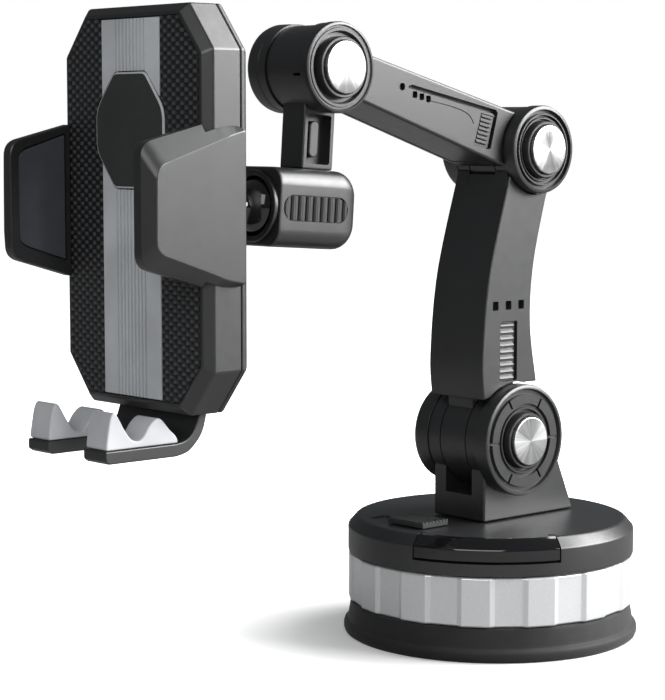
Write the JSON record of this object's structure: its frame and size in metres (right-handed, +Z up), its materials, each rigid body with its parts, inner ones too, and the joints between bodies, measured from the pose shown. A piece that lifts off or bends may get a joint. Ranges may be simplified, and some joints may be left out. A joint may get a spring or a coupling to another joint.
{
  "type": "car phone mount",
  "caption": "Suction-base car phone mount: swivel turret, two arms on three friction hinges, ball joint and a clamp with geared side jaws and a sliding foot.",
  "frame": {"origin": "centre of the suction face, on the surface that the base sits on", "axes": "+Z up out of that surface; -Y is the side that the phone faces; +X is the side with the aluminium hinge discs"},
  "size_m": [0.09, 0.2025, 0.1858],
  "materials": {
    "black_plastic": "fine satin moulded plastic",
    "gloss_black": "piano black",
    "black_rubber": "soft matt rubber",
    "clear_gel": "tacky gel face",
    "silver_plastic": "silver paint on plastic",
    "steel": "plain steel",
    "aluminium": "radially spun face",
    "carbon_print": "moulded weave pattern",
    "grey_plastic": "satin mid grey",
    "pale_plastic": "soft light grey"
  },
  "bodies": {
    "base": {"suction_cup": "black_rubber", "gel_pad": "clear_gel", "base_housing": "black_plastic", "grip_ring": "silver_plastic", "top_cover": "black_plastic"},
    "lever": {"lock_lever": "gloss_black"},
    "rod": {"pull_rod": "steel"},
    "lock": {"lock_slider": "black_plastic", "lock_keeper": "black_plastic"},
    "turret": {"turret": "black_plastic", "swivel_disc": "steel", "lower_hinge_near_cap": "black_plastic", "lower_hinge_far_cap": "black_plastic", "lower_hinge_bolt": "steel", "lower_hinge_disc": "aluminium"},
    "lower_arm": {"lower_arm_shell": "black_plastic", "lower_arm_back_cover": "black_plastic", "lower_arm_vent_right": "black_plastic", "lower_arm_vent_left": "black_plastic", "elbow_near_cap": "black_plastic", "elbow_far_cap": "black_plastic", "elbow_bolt": "steel", "elbow_disc": "aluminium"},
    "upper_arm": {"upper_arm_shell": "black_plastic", "upper_arm_top_strip": "black_plastic", "upper_arm_under_cover": "black_plastic", "upper_arm_vent_right": "black_plastic", "upper_arm_vent_left": "black_plastic", "wrist_near_cap": "black_plastic", "wrist_far_cap": "black_plastic", "wrist_bolt": "steel", "wrist_disc": "aluminium"},
    "neck": {"neck_bar": "black_plastic", "ball_barrel": "black_plastic", "barrel_grille_right": "black_plastic", "barrel_grille_left": "black_plastic", "socket_ring": "black_plastic"},
    "cup": {"ball_cup": "steel"},
    "stud": {"ball_stud": "black_plastic"},
    "clamp": {"clamp_front_shell": "black_plastic", "clamp_back_shell": "black_plastic", "carbon_panel_right": "carbon_print", "carbon_panel_left": "carbon_print", "stripe_upper": "grey_plastic", "stripe_lower": "grey_plastic", "clamp_screw_1": "steel", "clamp_screw_2": "steel", "clamp_screw_3": "steel", "clamp_screw_4": "steel", "trigger_spring": "steel"},
    "trigger": {"trigger_plate": "black_plastic"},
    "jaw_right": {"jaw_right": "black_plastic", "jaw_pad_right": "gloss_black"},
    "jaw_left": {"jaw_left": "black_plastic", "jaw_pad_left": "gloss_black"},
    "pinion": {"pinion": "pale_plastic"},
    "foot": {"foot_bracket": "black_plastic", "foot_pad_right": "pale_plastic", "foot_pad_left": "pale_plastic"}
  },
  "joints": [
    {"name": "swivel", "type": "hinge", "parent": "base", "child": "turret", "pos_m": [0, 0, 0.036], "axis": [0, 0, 1], "range_deg": [-120, 120]},
    {"name": "lower_hinge", "type": "hinge", "parent": "turret", "child": "lower_arm", "pos_m": [0, -0.00133, 0.06074], "axis": [1, 0, 0], "range_deg": [-40, 20]},
    {"name": "elbow", "type": "hinge", "parent": "lower_arm", "child": "upper_arm", "pos_m": [0, 0.00686, 0.1478], "axis": [1, 0, 0], "range_deg": [-75, 9]},
    {"name": "wrist", "type": "hinge", "parent": "upper_arm", "child": "neck", "pos_m": [0, -0.0728, 0.1708], "axis": [1, 0, 0], "range_deg": [-60, 25]},
    {"name": "ball_tilt", "type": "hinge", "parent": "neck", "child": "cup", "pos_m": [0, -0.091, 0.1327], "axis": [1, 0, 0], "range_deg": [-20, 20]},
    {"name": "ball_pan", "type": "hinge", "parent": "cup", "child": "stud", "pos_m": [0, -0.091, 0.1327], "axis": [0, 0, 1], "range_deg": [-20, 20]},
    {"name": "clamp_roll", "type": "hinge", "parent": "stud", "child": "clamp", "pos_m": [0, -0.091, 0.1327], "axis": [0, 1, 0], "continuous": true},
    {"name": "jaw_right_slide", "type": "slide", "parent": "clamp", "child": "jaw_right", "axis": [1, 0, 0], "range_m": [0, 0.02]},
    {"name": "jaw_left_slide", "type": "slide", "parent": "clamp", "child": "jaw_left", "axis": [-1, 0, 0], "range_m": [0, 0.02]},
    {"name": "pinion_spin", "type": "hinge", "parent": "clamp", "child": "pinion", "pos_m": [0, -0.13, 0.1331], "axis": [0, 1, 0], "range_deg": [0, 191.2]},
    {"name": "trigger_press", "type": "slide", "parent": "clamp", "child": "trigger", "axis": [0, 1, 0], "range_m": [0, 0.0015], "stiffness_N_per_m": 400},
    {"name": "foot_slide", "type": "slide", "parent": "clamp", "child": "foot", "axis": [0, 0, -1], "range_m": [0, 0.012]},
    {"name": "lock_slide", "type": "slide", "parent": "base", "child": "lock", "axis": [-1, 0, 0], "range_m": [0, 0.003]},
    {"name": "lever_lift", "type": "hinge", "parent": "base", "child": "lever", "pos_m": [0.02331, -0.02544, 0.0351], "axis": [-0.7373, -0.6756, 0], "range_deg": [0, 35.1]},
    {"name": "rod_drop", "type": "slide", "parent": "base", "child": "rod", "axis": [0, 0, -1], "range_m": [0, 0.0024]}
  ],
  "couplings": [
    {"joint": "jaw_left_slide", "follows": "jaw_right_slide", "ratio": 1},
    {"joint": "pinion_spin", "follows": "jaw_right_slide", "rad_per_m": 166.67},
    {"joint": "lever_lift", "follows": "rod_drop", "rad_per_m": 254.53}
  ]
}
